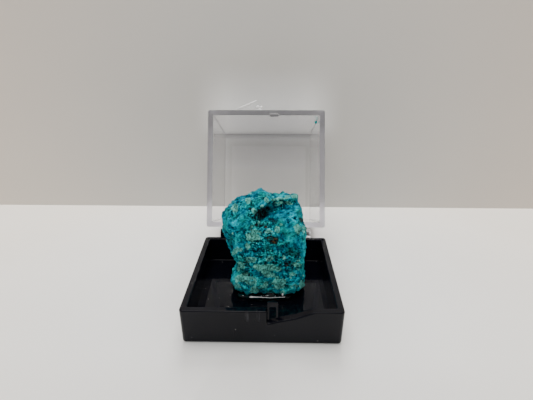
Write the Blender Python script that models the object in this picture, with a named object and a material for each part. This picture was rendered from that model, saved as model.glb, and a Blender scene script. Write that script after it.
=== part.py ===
"""A chrysocolla specimen glued in its hinged thumbnail box.

The box is a shallow black styrene tray with a deep clear lid. The lid turns on two moulded pins
behind the back wall, and it is modelled open on its stop. The specimen stands in hot glue on the
tray's floor. A wisp of the same glue and a crumb of the mineral cling to the lid.

Frame: the origin is the middle of the tray's flat underside, the tray's front faces -Y, +Z is up.
"""

import math

import bmesh
import bpy
from mathutils import Matrix, Vector, noise

MM = 0.001

# The box, as closed: tray below, lid above, flush all round.
SIDE = 32.0 * MM
TRAY_HEIGHT = 7.7 * MM
LID_HEIGHT = 24.3 * MM
WALL = 1.4 * MM
FLOOR = 1.5 * MM
RIM_GAP = 0.1 * MM
TRAY_DRAFT = math.radians(1.5)
LID_DRAFT = math.radians(1.6)
CORNER_RADIUS = 0.8 * MM
INNER_CORNER_RADIUS = 0.45 * MM
CORNER_SHRINK = 0.5
FOOT_ROUND = 0.5 * MM
RIM_ROUND = 0.3 * MM
LID_TOP_ROUND = 0.5 * MM
INNER_FILLET = 0.2 * MM

# The hinge: pins along X behind the back wall, and how far the lid opens from closed.
HINGE_BEHIND = 1.6 * MM
HINGE_ABOVE_RIM = 0.4 * MM
HINGE_OPEN = math.radians(113.0)
LOBE_RADIUS = 1.1 * MM
PIN_RADIUS = 0.45 * MM
PIN_CLEARANCE = 0.08 * MM
PIN_REACH = 1.8 * MM
LOBE_ROUND = 0.35 * MM
LOBE_EDGE = math.radians(60)
WEB_ROOT = 0.7 * MM
EAR_WEB_DEPTH = 3.2 * MM
EAR_ARC = (math.radians(-35), math.radians(235))
ARM_WEB_FOOT = 0.3 * MM
ARM_WEB_HEIGHT = 3.0 * MM
ARM_ARC_UNDER = (math.radians(215), math.radians(80))
ARM_ARC_OVER = (math.radians(-15), math.radians(55))
HEEL_REACH = 1.5 * MM
HEEL_DROP = 0.9 * MM
KNUCKLE_OUTER = 12.1 * MM
KNUCKLE_MIDDLE = 10.0 * MM
KNUCKLE_INNER = 7.95 * MM
KNUCKLE_GAP = 0.2 * MM

# The front: a thumb notch that ramps up to the rim, and the latch loop in its deep end.
NOTCH_LEFT = 1.0 * MM
NOTCH_FLOOR = 4.8 * MM
NOTCH_RAMP = ((2.6, 5.2), (6.6, 6.2), (9.4, 7.2), (10.4, 7.8))
NOTCH_PAST_WALL = 0.6 * MM
LOOP_LEFT = 1.04 * MM
LOOP_WIDTH = 2.16 * MM
LOOP_LEG = 0.46 * MM
LOOP_TOP = 9.15 * MM
LOOP_BAR = 1.0 * MM
LOOP_CORNER = 0.5 * MM
LOOP_ROOT = 0.6 * MM
LOOP_SILL = 0.1 * MM
LOOP_FRONT = -15.15 * MM
LOOP_BACK = -14.55 * MM
RELIEF_LEFT = 0.88 * MM
RELIEF_RIGHT = 3.36 * MM
RELIEF_WALL = 0.7 * MM
RELIEF_HEIGHT = 1.5 * MM

# The specimen: sections from the foot up, as height, left, right, front and back, in millimetres.
SECTIONS = (
    (2.25, -5.6, 8.9, -2.2, 8.4),
    (3.0, -7.1, 9.6, -3.2, 9.1),
    (4.5, -7.7, 9.5, -3.6, 9.6),
    (6.8, -6.4, 9.3, -3.6, 9.9),
    (8.5, -6.3, 9.1, -3.6, 10.1),
    (11.2, -7.1, 9.3, -3.75, 10.25),
    (14.3, -8.3, 9.4, -3.9, 10.4),
    (17.6, -8.9, 9.1, -4.0, 10.3),
    (20.2, -9.0, 8.5, -4.0, 10.1),
    (22.4, -8.1, 7.6, -3.6, 9.4),
    (24.0, -5.6, 7.4, -1.4, 8.4),
    (25.0, -2.8, 6.0, 1.5, 7.2),
)
SECTION_POINTS = 30
SECTION_SQUARENESS = 2.7
LUMP_SIZE = 5.0 * MM
LUMP_HEIGHT = 0.55 * MM
LUMP_INSET = 0.3

# The glue under the foot: (height, width) shares of its bead, and (lobes, swell, turn) of its edge.
GLUE_CENTRE = (1.0 * MM, 0.6 * MM)
GLUE_HALF = (6.6 * MM, 4.5 * MM)
GLUE_THICK = 0.55 * MM
GLUE_GAP = 0.08 * MM
GLUE_PROFILE = ((0.0, 0.97), (0.35, 1.0), (0.75, 0.96), (1.0, 0.86))
GLUE_POINTS = 28
GLUE_SWELLS = ((3, 0.05, 0.6), (5, 0.03, 1.6))

# What clings to the lid, as the lid lies when closed. The wisp is (along the wall, out from it) in
# millimetres, with (height, reach) shares of its thickness.
WISP_OUTLINE = ((-8.0, 0.0), (-7.5, 0.5), (-3.0, 2.6), (-2.5, 2.6), (-0.6, 1.2), (-0.3, 0.0))
WISP_PROFILE = ((0.0, 0.9), (0.5, 1.0), (1.0, 0.9))
WISP_THICK = 0.4 * MM
WISP_GAP = 0.08 * MM
WISP_ABOVE_RIM = 0.5 * MM
CRUMB_CENTRE = (14.0 * MM, -13.8 * MM, 12.3 * MM)
CRUMB_RADIUS = 0.33 * MM
CRUMB_ROUGHNESS = 0.25
CRUMB_GRAIN = 0.33 * MM

CORNER_STEPS = 6
ROUND_STEPS = 3
LOBE_STEPS = 24

HALF = SIDE / 2
RIM = TRAY_HEIGHT
LID_RIM = RIM + RIM_GAP
LID_TOP = LID_RIM + LID_HEIGHT
AXIS = Vector((0, HALF + HINGE_BEHIND, RIM + HINGE_ABOVE_RIM))


def clear_scene():
    for old in list(bpy.data.objects):
        bpy.data.objects.remove(old, do_unlink=True)


def material(name, color, roughness, transmission=0.0, ior=1.5):
    made = bpy.data.materials.new(name)
    made.use_nodes = True
    shader = made.node_tree.nodes["Principled BSDF"]
    shader.inputs["Base Color"].default_value = (*color, 1)
    shader.inputs["Roughness"].default_value = roughness
    shader.inputs["Metallic"].default_value = 0
    shader.inputs["Transmission Weight"].default_value = transmission
    shader.inputs["IOR"].default_value = ior
    made.diffuse_color = (*color, 1)
    return made


def object_of(name, bm, finish=None):
    bmesh.ops.recalc_face_normals(bm, faces=bm.faces[:])
    mesh = bpy.data.meshes.new(name)
    bm.to_mesh(mesh)
    bm.free()
    made = bpy.data.objects.new(name, mesh)
    bpy.context.scene.collection.objects.link(made)
    if finish:
        mesh.materials.append(finish)
    return made


def combine(target, other, operation):
    """Joins another object to the target or cuts it away, and removes it."""
    cut = target.modifiers.new(operation.lower(), "BOOLEAN")
    cut.operation = operation
    cut.solver = "EXACT"
    cut.object = other
    seen = target.evaluated_get(bpy.context.evaluated_depsgraph_get())
    shaped = bpy.data.meshes.new_from_object(seen)
    target.modifiers.remove(cut)
    target.data = shaped
    bpy.data.objects.remove(other, do_unlink=True)


def rounded_square(half, radius):
    """The corners of a square with rounded corners, anticlockwise seen from above."""
    points = []
    for corner in range(4):
        turn = math.radians(90 * corner)
        cx = (half - radius) * math.copysign(1, math.cos(turn + math.pi / 4))
        cy = (half - radius) * math.copysign(1, math.sin(turn + math.pi / 4))
        for step in range(CORNER_STEPS + 1):
            angle = turn + math.pi / 2 * step / CORNER_STEPS
            points.append((cx + radius * math.cos(angle), cy + radius * math.sin(angle)))
    return points


def quarter_round(radius):
    """Steps of a quarter circle, as (along, inset) from its tangent point on the side to its end."""
    steps = [math.pi / 2 * step / ROUND_STEPS for step in range(ROUND_STEPS + 1)]
    return [(radius * math.sin(a), radius * (1 - math.cos(a))) for a in steps]


def loft(bm, rings):
    """Skins rings of equal length, each a list of points, and closes both ends."""
    rows = [[bm.verts.new(point) for point in ring] for ring in rings]
    for lower, upper in zip(rows, rows[1:]):
        for i in range(len(lower)):
            j = (i + 1) % len(lower)
            bm.faces.new((lower[i], lower[j], upper[j], upper[i]))
    bm.faces.new(rows[0][::-1])
    bm.faces.new(rows[-1])


def square_loft(name, profile, radius, finish=None):
    """A rounded square block whose (height, half side) profile runs from its foot to its top."""
    bm = bmesh.new()
    widest = max(half for _, half in profile)
    rings = []
    for height, half in profile:
        corner = max(radius - (widest - half) * CORNER_SHRINK, radius / 2)
        rings.append([(x, y, height) for x, y in rounded_square(half, corner)])
    loft(bm, rings)
    return object_of(name, bm, finish)


def prism(name, outline, axis, start, end, finish=None):
    """An outline extruded along X (outline in Y, Z) or along Y (outline in X, Z)."""

    def place(point, along):
        first, height = point
        return (along, first, height) if axis == "X" else (first, along, height)

    bm = bmesh.new()
    loft(bm, [[place(p, start) for p in outline], [place(p, end) for p in outline]])
    return object_of(name, bm, finish)


def circle(centre, radius, steps, start=0.0, sweep=2 * math.pi):
    closed = math.isclose(sweep, 2 * math.pi)
    count = steps if closed else steps + 1
    angles = [start + sweep * i / steps for i in range(count)]
    return [(centre[0] + radius * math.cos(a), centre[1] + radius * math.sin(a)) for a in angles]


# The tray.


def tray_profile():
    """The outside, from the rounded foot up the drafted wall to the rounded rim."""

    def half_at(height):
        return HALF - (RIM - height) * math.tan(TRAY_DRAFT)

    foot = [(FOOT_ROUND - along, half_at(FOOT_ROUND) - inset) for along, inset in quarter_round(FOOT_ROUND)]
    rim = [(RIM - RIM_ROUND + along, HALF - inset) for along, inset in quarter_round(RIM_ROUND)]
    return foot[::-1] + rim


def tray_hollow():
    def half_at(height):
        return HALF - WALL - (RIM - height) * math.tan(TRAY_DRAFT)

    start = FLOOR + INNER_FILLET
    fillet = [(start - along, half_at(start) - inset) for along, inset in quarter_round(INNER_FILLET)]
    return fillet[::-1] + [(RIM, half_at(RIM)), (RIM + MM, half_at(RIM))]


def notch_cutter():
    """The thumb notch: upright at the latch, then a ramp that climbs to the rim on the right."""
    ramp = [(x * MM, z * MM) for x, z in NOTCH_RAMP]
    clear = RIM + 2 * MM
    outline = [(NOTCH_LEFT, NOTCH_FLOOR), *ramp, (ramp[-1][0], clear), (NOTCH_LEFT, clear)]
    return prism("notch", outline, "Y", -HALF - MM, -HALF + WALL + NOTCH_PAST_WALL)


def latch_loop():
    """A loop of thin styrene with rounded shoulders, rooted in the wall below the notch."""
    left, right = LOOP_LEFT, LOOP_LEFT + LOOP_WIDTH
    root, shoulder = NOTCH_FLOOR - LOOP_ROOT, LOOP_TOP - LOOP_CORNER
    quarter = math.pi / 2
    over_right = circle((right - LOOP_CORNER, shoulder), LOOP_CORNER, CORNER_STEPS, 0.0, quarter)
    over_left = circle((left + LOOP_CORNER, shoulder), LOOP_CORNER, CORNER_STEPS, quarter, quarter)
    outline = [(left, root), (right, root), *over_right, *over_left]
    loop = prism("loop", outline, "Y", LOOP_FRONT, LOOP_BACK)
    low, high = NOTCH_FLOOR + LOOP_SILL, LOOP_TOP - LOOP_BAR
    inner_left, inner_right = left + LOOP_LEG, right - LOOP_LEG
    corners = [(inner_left, low), (inner_right, low), (inner_right, high), (inner_left, high)]
    window = prism("window", corners, "Y", LOOP_FRONT - MM, LOOP_BACK + MM)
    combine(loop, window, "DIFFERENCE")
    return loop


def rounded_lobe(name, outline, left, right):
    """A hinge lobe along X, its end edges rounded."""
    lobe = prism(name, outline, "X", left, right)
    soften = lobe.modifiers.new("soften", "BEVEL")
    soften.width = LOBE_ROUND
    soften.segments = 2
    soften.limit_method = "ANGLE"
    soften.angle_limit = LOBE_EDGE
    seen = lobe.evaluated_get(bpy.context.evaluated_depsgraph_get())
    lobe.data = bpy.data.meshes.new_from_object(seen)
    lobe.modifiers.clear()
    return lobe


def ear_outline():
    """The tray's lobe round the pin, webbed down to the back wall."""
    inside = HALF - WEB_ROOT
    around = circle((AXIS.y, AXIS.z), LOBE_RADIUS, 16, *EAR_ARC)
    return [(inside, RIM - EAR_WEB_DEPTH), *around, (inside, RIM - RIM_ROUND)]


def pin(left, right):
    outline = circle((AXIS.y, AXIS.z), PIN_RADIUS, LOBE_STEPS)
    return prism("pin", outline, "X", left, right)


def build_tray(finish):
    tray = square_loft("base_tray", tray_profile(), CORNER_RADIUS, finish)
    for left, right in ear_spans():
        combine(tray, rounded_lobe("ear", ear_outline(), left, right), "UNION")
    combine(tray, square_loft("hollow", tray_hollow(), INNER_CORNER_RADIUS), "DIFFERENCE")
    combine(tray, notch_cutter(), "DIFFERENCE")
    combine(tray, latch_loop(), "UNION")
    for left, right in ear_spans():
        combine(tray, pin(right - MM, right + PIN_REACH), "UNION")
    return tray


def ear_spans():
    """The tray's ears: outboard on the left, inboard on the right, so that both pins point right."""
    half_gap = KNUCKLE_GAP / 2
    return (
        (-KNUCKLE_OUTER, -KNUCKLE_MIDDLE - half_gap),
        (KNUCKLE_INNER, KNUCKLE_MIDDLE - half_gap),
    )


def arm_spans():
    """The lid's arms, each just right of an ear."""
    half_gap = KNUCKLE_GAP / 2
    return (
        (-KNUCKLE_MIDDLE + half_gap, -KNUCKLE_INNER),
        (KNUCKLE_MIDDLE + half_gap, KNUCKLE_OUTER),
    )


# The lid, shaped as it lies when closed.


def lid_profile():
    """The outside, from the rim up the drafted wall to the rounded top."""
    top_half = HALF - LID_HEIGHT * math.tan(LID_DRAFT)
    start = LID_TOP - LID_TOP_ROUND
    top = [(start + along, top_half - inset) for along, inset in quarter_round(LID_TOP_ROUND)]
    return [(LID_RIM, HALF), *top]


def lid_hollow():
    def half_at(height):
        return HALF - WALL - (height - LID_RIM) * math.tan(LID_DRAFT)

    start = LID_TOP - WALL - INNER_FILLET
    fillet = [(start + along, half_at(start) - inset) for along, inset in quarter_round(INNER_FILLET)]
    return [(LID_RIM - MM, half_at(LID_RIM)), (LID_RIM, half_at(LID_RIM)), *fillet]


def arm_outline():
    """The lid's lobe round the pin, webbed up its back wall, with a heel that stops it when open."""
    inside = HALF - WEB_ROOT
    axis = Vector((AXIS.y, AXIS.z))
    heel = Vector((-HEEL_REACH, -HEEL_DROP))
    heel.rotate(Matrix.Rotation(HINGE_OPEN, 2))
    under = circle(axis, LOBE_RADIUS, 4, *ARM_ARC_UNDER)
    over = circle(axis, LOBE_RADIUS, 4, *ARM_ARC_OVER)
    foot, top = (inside, LID_RIM + ARM_WEB_FOOT), (inside, LID_RIM + ARM_WEB_HEIGHT)
    return [foot, *under, tuple(axis + heel), *over, top]


def build_lid(finish):
    lid = square_loft("lid", lid_profile(), CORNER_RADIUS, finish)
    for left, right in arm_spans():
        combine(lid, rounded_lobe("arm", arm_outline(), left, right), "UNION")
        bore = circle((AXIS.y, AXIS.z), PIN_RADIUS + PIN_CLEARANCE, LOBE_STEPS)
        combine(lid, prism("bore", bore, "X", left - MM, right + MM), "DIFFERENCE")
    combine(lid, square_loft("hollow", lid_hollow(), INNER_CORNER_RADIUS), "DIFFERENCE")
    combine(lid, latch_relief(), "DIFFERENCE")
    return lid


def latch_relief():
    """The shallow pocket inside the lid's front wall that lets the latch loop stand in it."""
    low, high = LID_RIM - MM, LID_RIM + RELIEF_HEIGHT
    corners = [(RELIEF_LEFT, low), (RELIEF_RIGHT, low), (RELIEF_RIGHT, high), (RELIEF_LEFT, high)]
    return prism("relief", corners, "Y", -HALF + RELIEF_WALL, -HALF + WALL + MM)


# The specimen and its glue.


def section_ring(height, left, right, front, back):
    """One section: a squarish oval, pushed in and out by lumps that run on to its neighbours."""
    centre = Vector(((left + right) / 2 * MM, (front + back) / 2 * MM, height * MM))
    half_x, half_y = (right - left) / 2 * MM, (back - front) / 2 * MM
    ring = []
    for i in range(SECTION_POINTS):
        angle = 2 * math.pi * i / SECTION_POINTS
        c, s = math.cos(angle), math.sin(angle)
        power = 2 / SECTION_SQUARENESS
        x = half_x * math.copysign(abs(c) ** power, c)
        y = half_y * math.copysign(abs(s) ** power, s)
        point = centre + Vector((x, y, 0))
        outward = Vector((x, y, 0)).normalized()
        lump = noise.noise(point / LUMP_SIZE) * LUMP_HEIGHT
        ring.append(point + outward * (lump - LUMP_HEIGHT * LUMP_INSET))
    return ring


def build_specimen(finish):
    bm = bmesh.new()
    loft(bm, [section_ring(*row) for row in SECTIONS])
    return object_of("specimen", bm, finish)


def glue_reach(angle):
    """How far the bead's edge lies out at an angle, as a share of its half size."""
    return 1 + sum(swell * math.sin(lobes * angle + turn) for lobes, swell, turn in GLUE_SWELLS)


def build_glue(finish):
    """A low bead that spreads out from under the specimen's foot."""
    angles = [2 * math.pi * i / GLUE_POINTS for i in range(GLUE_POINTS)]
    rings = []
    for rise, share in GLUE_PROFILE:
        height = FLOOR + GLUE_GAP + GLUE_THICK * rise
        ring = []
        for angle in angles:
            reach = share * glue_reach(angle)
            x = GLUE_CENTRE[0] + GLUE_HALF[0] * reach * math.cos(angle)
            y = GLUE_CENTRE[1] + GLUE_HALF[1] * reach * math.sin(angle)
            ring.append((x, y, height))
        rings.append(ring)
    bm = bmesh.new()
    loft(bm, rings)
    return object_of("glue", bm, finish)


def build_wisp(finish):
    """A thin three-cornered film of glue that stands off the lid's front wall, near its rim."""
    face = -HALF - WISP_GAP
    rings = []
    for rise, reach in WISP_PROFILE:
        height = LID_RIM + WISP_ABOVE_RIM + WISP_THICK * rise
        rings.append([(x * MM, face - out * MM * reach, height) for x, out in WISP_OUTLINE])
    bm = bmesh.new()
    loft(bm, rings)
    return object_of("glue_wisp", bm, finish)


def build_crumb(finish):
    """A crumb of the mineral, caught in the lid's corner between its front and right walls."""
    bm = bmesh.new()
    bmesh.ops.create_icosphere(bm, subdivisions=2, radius=CRUMB_RADIUS)
    for vert in bm.verts:
        vert.co *= 1 + CRUMB_ROUGHNESS * noise.noise(vert.co / CRUMB_GRAIN)
        vert.co += Vector(CRUMB_CENTRE)
    return object_of("mineral_crumb", bm, finish)


def hang_on_hinge(pieces):
    """Carries the lid and what clings to it on an empty on the hinge axis, and opens it."""
    hinge = bpy.data.objects.new("hinge_axis", None)
    bpy.context.scene.collection.objects.link(hinge)
    for piece in pieces:
        for vert in piece.data.vertices:
            vert.co -= AXIS
        piece.parent = hinge
    hinge.location = AXIS
    hinge.rotation_euler = (-HINGE_OPEN, 0, 0)


def shade(piece):
    piece.data.shade_smooth()
    piece.data.set_sharp_from_angle(angle=math.radians(35))


def build():
    clear_scene()
    black = material("black_styrene", (0.012, 0.012, 0.013), 0.12)
    clear = material("clear_styrene", (0.93, 0.93, 0.96), 0.03, transmission=1.0, ior=1.59)
    stone = material("chrysocolla", (0.01, 0.26, 0.30), 0.6)
    glue = material("hot_glue", (0.9, 0.9, 0.9), 0.1, transmission=0.9, ior=1.48)
    build_tray(black)
    build_specimen(stone)
    build_glue(glue)
    hang_on_hinge([build_lid(clear), build_wisp(glue), build_crumb(stone)])
    for piece in bpy.data.objects:
        if piece.type == "MESH":
            shade(piece)


build()
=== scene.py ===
# %% [markdown]
# # A chrysocolla specimen in its hinged thumbnail box
#
# A small blue-green mineral stands in a bead of hot glue on the floor of a black tray, and the
# tray's clear lid leans back on its hinge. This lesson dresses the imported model, which holds the
# exact places and the hinge. Each visible piece is modelled again with the detail that the plain
# solids lack, and rides on the body that it belongs to.

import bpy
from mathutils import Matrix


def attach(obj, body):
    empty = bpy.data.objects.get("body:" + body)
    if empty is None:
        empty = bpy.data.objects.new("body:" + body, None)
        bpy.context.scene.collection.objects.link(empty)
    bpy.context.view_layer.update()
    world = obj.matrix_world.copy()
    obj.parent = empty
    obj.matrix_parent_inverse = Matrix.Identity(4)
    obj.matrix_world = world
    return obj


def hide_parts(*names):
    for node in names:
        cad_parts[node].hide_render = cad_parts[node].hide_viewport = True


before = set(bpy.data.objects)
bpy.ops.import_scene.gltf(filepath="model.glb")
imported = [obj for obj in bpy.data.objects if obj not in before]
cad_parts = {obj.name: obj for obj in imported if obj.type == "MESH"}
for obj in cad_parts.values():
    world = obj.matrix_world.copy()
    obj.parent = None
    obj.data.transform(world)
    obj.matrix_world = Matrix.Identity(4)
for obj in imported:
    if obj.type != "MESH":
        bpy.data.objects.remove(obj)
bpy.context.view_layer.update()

# %% [markdown]
# ## Units and small helpers
#
# The frame is in metres and the box is about 32 mm wide, so sizes are written in millimetres and
# turned into metres by one factor. An operator acts on everything that is selected, and the frame
# leaves its own nodes selected, so every new piece begins with an empty selection.

# %% Units and tools
import math
from functools import reduce

import bmesh
import bpy
import numpy as np
from mathutils import Matrix, Vector, kdtree
from mathutils import noise as wave

MM = 0.001


def metres(place):
    return [c * MM for c in place]


def select_only(piece):
    """Leaves one object selected and active."""
    bpy.ops.object.select_all(action="DESELECT")
    piece.select_set(True)
    bpy.context.view_layer.objects.active = piece


def settle(piece):
    """Puts an object's place, turn and size into its mesh."""
    select_only(piece)
    bpy.ops.object.transform_apply(location=True, rotation=True, scale=True)


def primitive(kind, name, **settings):
    """Adds one of Blender's primitives on its own and names it."""
    bpy.ops.object.select_all(action="DESELECT")
    getattr(bpy.ops.mesh, f"primitive_{kind}_add")(**settings)
    piece = bpy.context.active_object
    piece.name = piece.data.name = name
    settle(piece)
    return piece


def block(name, low, high):
    """A box between two corners, in millimetres."""
    size = [(b - a) * MM for a, b in zip(low, high)]
    middle = [(a + b) / 2 * MM for a, b in zip(low, high)]
    return primitive("cube", name, size=1, location=middle, scale=size)


def rod(name, centre, radius, length, sides=24):
    """A round rod along X, in millimetres."""
    sizes = {"vertices": sides, "radius": radius * MM, "depth": length * MM}
    return primitive("cylinder", name, location=metres(centre), rotation=(0, math.pi / 2, 0), **sizes)

# %% [markdown]
# Faces and edges are picked by where they are, because there is no pointer to click with. A test
# gets places in millimetres and answers yes or no.

# %% Picking and editing
def edit(piece):
    select_only(piece)
    bpy.ops.object.mode_set(mode="EDIT")


def leave():
    bpy.ops.object.mode_set(mode="OBJECT")


def pick(kind, find):
    """Picks what a search finds in the mesh, and nothing else."""
    bpy.ops.mesh.select_mode(type=kind)
    bpy.ops.mesh.select_all(action="DESELECT")
    shape = bmesh.from_edit_mesh(bpy.context.object.data)
    for item in find(shape):
        item.select_set(True)
    bmesh.update_edit_mesh(bpy.context.object.data)


def pick_faces(test):
    """Picks the faces whose middle and normal pass the test."""
    pick("FACE", lambda shape: [f for f in shape.faces if test(f.calc_center_median() / MM, f.normal)])


def pick_edges(test):
    """Picks the edges whose two ends pass the test."""
    ends = lambda edge: [v.co / MM for v in edge.verts]
    pick("EDGE", lambda shape: [e for e in shape.edges if test(*ends(e))])


def scale_xy(share):
    bpy.ops.transform.resize(value=(share, share, 1), center_override=(0, 0, 0))


def shift(x, y, z):
    bpy.ops.transform.translate(value=metres((x, y, z)))


def extrude(x, y, z):
    bpy.ops.mesh.extrude_region_move(TRANSFORM_OT_translate={"value": metres((x, y, z))})


def round_picked(width, steps):
    bpy.ops.mesh.bevel(
        offset=width * MM, segments=steps, profile=0.5, affect="EDGES", clamp_overlap=False
    )

# %% [markdown]
# A modifier is added, set and applied in one go, so that a piece is always plain mesh. A boolean
# joins or cuts, a bevel softens what is sharper than an angle, and weighted normals keep the flat
# walls looking flat beside their rounded edges.

# %% Modifiers
def modify(piece, kind, **settings):
    """Adds a modifier, sets it and applies it."""
    made = piece.modifiers.new(kind, kind)
    for key, value in settings.items():
        setattr(made, key, value)
    select_only(piece)
    bpy.ops.object.modifier_apply(modifier=made.name)


def combine(piece, other, operation):
    """Joins another shape to a piece or cuts it away."""
    modify(piece, "BOOLEAN", operation=operation, solver="EXACT", object=other)
    bpy.data.objects.remove(other, do_unlink=True)


def soften(piece, width, steps=3, angle=50):
    """Rounds every edge that is sharper than an angle."""
    limit = {"limit_method": "ANGLE", "angle_limit": math.radians(angle)}
    modify(piece, "BEVEL", width=width * MM, segments=steps, miter_outer="MITER_ARC", **limit)


def smooth(piece, angle=35, weighted=True):
    """Smooth shading that keeps flat walls flat."""
    select_only(piece)
    bpy.ops.object.shade_smooth_by_angle(angle=math.radians(angle))
    if weighted:
        modify(piece, "WEIGHTED_NORMAL", keep_sharp=True)


def remesh(piece, size):
    """Rebuilds the surface as even little squares."""
    modify(piece, "REMESH", mode="VOXEL", voxel_size=size * MM)

# %% [markdown]
# ## The camera
#
# The view looks down at the box from the front with a fairly wide lens held close, which makes the
# tray's side walls splay. The clip distance is short, because the box is only hand-width away.

# %% Camera
EYE = (2.17, -76.84, 53.68)
LOOK_DOWN, LOOK_LEFT = 20.85, 1.15

camera_data = bpy.data.cameras.new("camera")
camera_data.sensor_width, camera_data.lens = 36, 26
camera_data.clip_start, camera_data.clip_end = 0.002, 20
camera = bpy.data.objects.new("camera", camera_data)
bpy.context.scene.collection.objects.link(camera)
camera.location = metres(EYE)
camera.rotation_euler = (math.radians(90 - LOOK_DOWN), 0, math.radians(LOOK_LEFT))
bpy.context.scene.camera = camera
print("camera at", EYE, "mm")

# %% [markdown]
# ## Node helpers
#
# A finish is a small network of nodes. These helpers add a node to the network that was opened last,
# fill its sockets and give its output, so that a finish reads as a short list of layers. A fixed
# number sits on the shader's own socket, and only what varies over the surface is linked to it.

# %% Node helpers
bench = {}


def new_material(name):
    """Opens a new material, and gives it and its Principled BSDF."""
    made = bpy.data.materials.new(name)
    made.use_nodes = True
    bench["tree"] = made.node_tree
    return made, made.node_tree.nodes["Principled BSDF"]


def put(socket, value):
    """Links a socket to another, or sets its number or colour."""
    if isinstance(value, bpy.types.NodeSocket):
        bench["tree"].links.new(value, socket)
    elif socket.type == "RGBA":
        socket.default_value = (*value, 1)
    else:
        socket.default_value = value


def fill_in(target, values):
    for key, value in values.items():
        put(target.inputs[key], value)


def node(kind, values=None, **settings):
    """Adds a shader node, sets its properties and fills its sockets."""
    made = bench["tree"].nodes.new("ShaderNode" + kind)
    for key, value in settings.items():
        setattr(made, key, value)
    fill_in(made, values or {})
    return made


def blend(share, first, second):
    """Mixes two colours by a mask."""
    return node("Mix", {0: share, 6: first, 7: second}, data_type="RGBA").outputs[2]


def spread(value, low, high, to_low=0, to_high=1, kind="LINEAR"):
    """Stretches a value from one range to another and holds it there."""
    values = dict(enumerate((value, low, high, to_low, to_high)))
    return node("MapRange", values, interpolation_type=kind).outputs["Result"]


def reckon(operation, first, second=0):
    return node("Math", {0: first, 1: second}, operation=operation).outputs[0]


def total(*values):
    return reduce(lambda a, b: reckon("ADD", a, b), values)


def times(*values):
    return reduce(lambda a, b: reckon("MULTIPLY", a, b), values)


def off_middle(value, share):
    """How far a value is from a half, times a share."""
    return times(total(value, -0.5), share)

# %% Places, patterns and bumps
def place(scale=(1, 1, 1)):
    """Object coordinates, stretched."""
    where = node("TexCoord").outputs["Object"]
    return node("Mapping", {"Vector": where, "Scale": scale}).outputs["Vector"]


def parts_of(where):
    return tuple(node("SeparateXYZ", {"Vector": where}).outputs)


def reach(where):
    """How far a place is from the middle."""
    return node("VectorMath", {0: where}, operation="LENGTH").outputs["Value"]


def ramp(value, stops):
    """Colours along a value, as (place, colour) stops."""
    made = node("ValToRGB", {"Fac": value})
    line = made.color_ramp.elements
    while len(line) < len(stops):
        line.new(0.5)
    for stop, (at, colour) in zip(line, stops):
        stop.position = at
        stop.color = (*colour, 1)
    return made.outputs["Color"]


def noise(where, per_metre, detail, rough=0.55, warp=0):
    keys = ("Vector", "Scale", "Detail", "Roughness", "Distortion")
    return node("TexNoise", dict(zip(keys, (where, per_metre, detail, rough, warp)))).outputs["Fac"]


def bumps(height, strength, depth):
    """Normals that follow a height, with the depth in metres."""
    values = {"Strength": strength, "Distance": depth, "Height": height}
    return node("Bump", values).outputs["Normal"]


def coat(piece, finish):
    """Gives a piece its only material."""
    piece.data.materials.clear()
    piece.data.materials.append(finish)

# %% [markdown]
# ## Floor, backdrop and light
#
# The box stands on a pale table with a faint paper grain, in front of a slightly darker wall. Only
# the wall's front shows, so that it never hides the object when the camera walks round, and the
# lamps behind it shine through. The lamp in front is left out of reflections, because it would
# stand as a bright square in the clear lid.

# %% Floor
TABLE_SIZE = 4000


def table_finish():
    """Pale paper: neutral round the box, with a painted shadow in front, warmer towards the edges."""
    made, shader = new_material("table_paper")
    where = place()
    grain = noise(where, 1400, 2)
    mottle = spread(noise(where, 18, 3), 0.35, 0.65)
    middle = blend(mottle, (0.8, 0.795, 0.775), (0.84, 0.835, 0.81))
    # Painted shadow: the paper is darker just in front of the box, where the box shades it.
    painted_front_shadow = spread(parts_of(where)[1], -0.03, -0.017, 1, 0, "SMOOTHSTEP")
    near = blend(painted_front_shadow, middle, (0.765, 0.757, 0.737))
    far = blend(mottle, (0.86, 0.805, 0.72), (0.89, 0.835, 0.755))
    fill_in(shader, {
        "Base Color": blend(spread(reach(where), 0.03, 0.085), near, far),
        "Roughness": spread(grain, 0.3, 0.7, 0.75, 0.9),
        "Normal": bumps(grain, 0.25, 0.00003),
        "Specular IOR Level": 0.15,
    })
    return made


table = primitive("plane", "table", size=TABLE_SIZE * MM)
coat(table, table_finish())

# %% Backdrop
WALL_Y = 57
# Foot height and half width of the painted light patch above the lid, in metres.
GLOW_FOOT, GLOW_HALF = 0.0282, 0.0185


def painted_glow_over_lid(where):
    """Painted light: a slightly lighter patch of wall just above the lid's edge."""
    x, _, z = parts_of(where)
    across = reckon("ABSOLUTE", x)
    return times(
        spread(across, GLOW_HALF - 0.007, GLOW_HALF + 0.008, 1, 0, "SMOOTHSTEP"),
        spread(z, GLOW_FOOT - 0.004, GLOW_FOOT + 0.003, 0, 1, "SMOOTHSTEP"),
        spread(z, GLOW_FOOT + 0.004, GLOW_FOOT + 0.024, 1, 0, "SMOOTHSTEP"),
    )


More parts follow.
